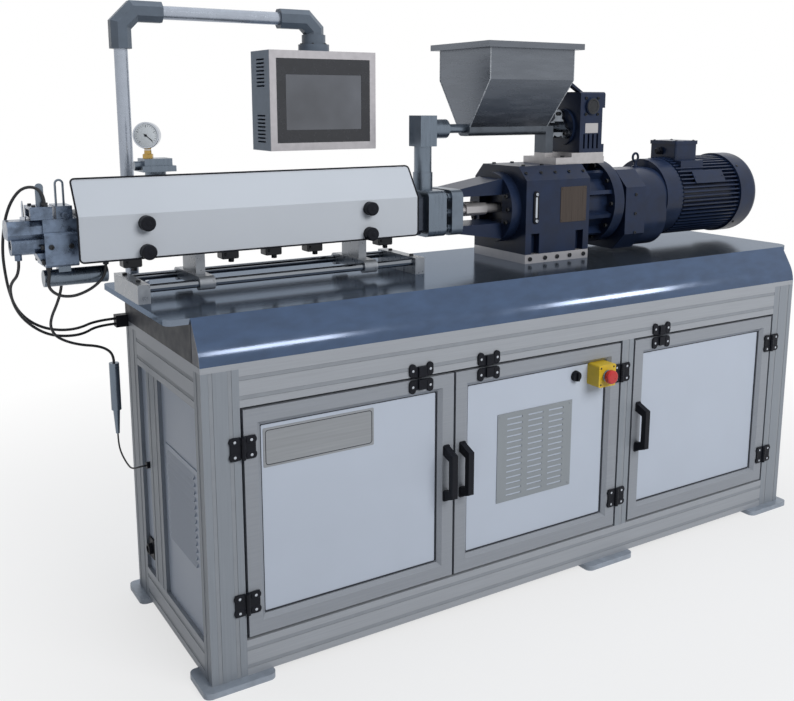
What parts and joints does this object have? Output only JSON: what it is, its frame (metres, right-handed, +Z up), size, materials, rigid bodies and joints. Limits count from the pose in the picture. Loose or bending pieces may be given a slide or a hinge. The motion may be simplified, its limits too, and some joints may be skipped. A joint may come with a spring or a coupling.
{
  "type": "plastic extruder",
  "caption": "Laboratory twin-screw plastic extruder on a slotted-profile cabinet with hinged doors, a screw-fed hopper, a geared motor drive and a swivelling operator panel",
  "frame": {"origin": "front left corner of the cabinet's footprint, in the plane of the undersides of the foot plates", "axes": "+X along the machine from the die to the drive motor, +Y from the doors to the back, +Z up"},
  "size_m": [2.4237, 0.679, 1.6033],
  "materials": {
    "anodised_aluminium": "satin",
    "white_panel": "satin",
    "bare_steel": "satin",
    "polished_steel": "polished",
    "navy_sheet": "satin",
    "dark_sheet": "matte",
    "navy_paint": "semi-gloss",
    "grey_steel": "satin",
    "pale_sheet": "satin",
    "black_plastic": "matte",
    "stainless": "satin",
    "bright_metal": "polished",
    "arm_paint": "satin",
    "silver_paint": "satin",
    "screen_glass": "gloss",
    "yellow_plastic": "gloss",
    "red_plastic": "gloss",
    "cable_jacket": "matte"
  },
  "bodies": {
    "machine": {"frame_posts": "anodised_aluminium", "frame_rails": "anodised_aluminium", "foot_plates": "bare_steel", "deck_plate": "anodised_aluminium", "side_panels": "white_panel", "table_plate": "polished_steel", "front_cover": "navy_sheet", "table_sides": "dark_sheet", "frame_fittings": "black_plastic", "guide_rods": "bright_metal", "rod_supports": "bare_steel", "barrel": "grey_steel", "barrel_clamp": "grey_steel", "barrel_covers": "pale_sheet", "cover_knobs": "black_plastic", "die_body": "grey_steel", "die_heater": "bare_steel", "vent_port": "grey_steel", "vacuum_gauge": "bright_metal", "lantern": "navy_paint", "gearbox_housing": "navy_paint", "gearbox_base": "bare_steel", "bell_housing": "navy_paint", "gear_unit": "navy_paint", "motor": "navy_paint", "fan_cowl": "navy_paint", "feeder_plates": "bare_steel", "worm_unit": "navy_paint", "feeder_coupling": "bright_metal", "feeder_motor": "navy_paint", "hopper": "stainless", "feeder_trough": "stainless", "feed_pipes": "stainless", "arm_tubes": "bright_metal", "arm_elbows": "arm_paint", "cable_a": "cable_jacket", "cable_b": "cable_jacket", "cable_c": "cable_jacket", "cable_d": "cable_jacket", "cable_tail": "cable_jacket", "cable_connector": "bright_metal"},
    "operator_panel": {"panel_case": "silver_paint", "panel_screen": "screen_glass", "swivel_ring": "arm_paint"},
    "door_1": {"door_1_frame": "anodised_aluminium", "door_1_panel": "white_panel", "door_1_fittings": "black_plastic"},
    "door_2": {"door_2_frame": "anodised_aluminium", "door_2_panel": "white_panel", "door_2_fittings": "black_plastic", "vent_grille": "white_panel", "stop_box": "yellow_plastic"},
    "stop_button": {"stop_button": "red_plastic"},
    "door_3": {"door_3_frame": "anodised_aluminium", "door_3_panel": "white_panel", "door_3_fittings": "black_plastic"},
    "screw_front": {"screw_shaft_front": "bare_steel"},
    "screw_rear": {"screw_shaft_rear": "bare_steel"}
  },
  "joints": [
    {"name": "door_1_hinge", "type": "hinge", "parent": "machine", "child": "door_1", "pos_m": [0.0935, -0.006, 0.3915], "axis": [0, 0, -1], "range_deg": [0, 100]},
    {"name": "door_2_hinge", "type": "hinge", "parent": "machine", "child": "door_2", "pos_m": [1.2665, -0.006, 0.3915], "axis": [0, 0, 1], "range_deg": [0, 100]},
    {"name": "door_3_hinge", "type": "hinge", "parent": "machine", "child": "door_3", "pos_m": [1.9365, -0.006, 0.3915], "axis": [0, 0, 1], "range_deg": [0, 100]},
    {"name": "panel_swivel", "type": "hinge", "parent": "machine", "child": "operator_panel", "pos_m": [0.546, 0.512, 1.51], "axis": [0, 0, 1], "range_deg": [-90, 90]},
    {"name": "stop_push", "type": "slide", "parent": "door_2", "child": "stop_button", "axis": [0, 1, 0], "range_m": [0, 0.006]},
    {"name": "screw_front_turn", "type": "hinge", "parent": "machine", "child": "screw_front", "pos_m": [0.971, 0.328, 1.045], "axis": [1, 0, 0], "continuous": true},
    {"name": "screw_rear_turn", "type": "hinge", "parent": "machine", "child": "screw_rear", "pos_m": [0.971, 0.368, 1.045], "axis": [1, 0, 0], "continuous": true}
  ],
  "couplings": [
    {"joint": "screw_rear_turn", "follows": "screw_front_turn", "ratio": 1}
  ]
}
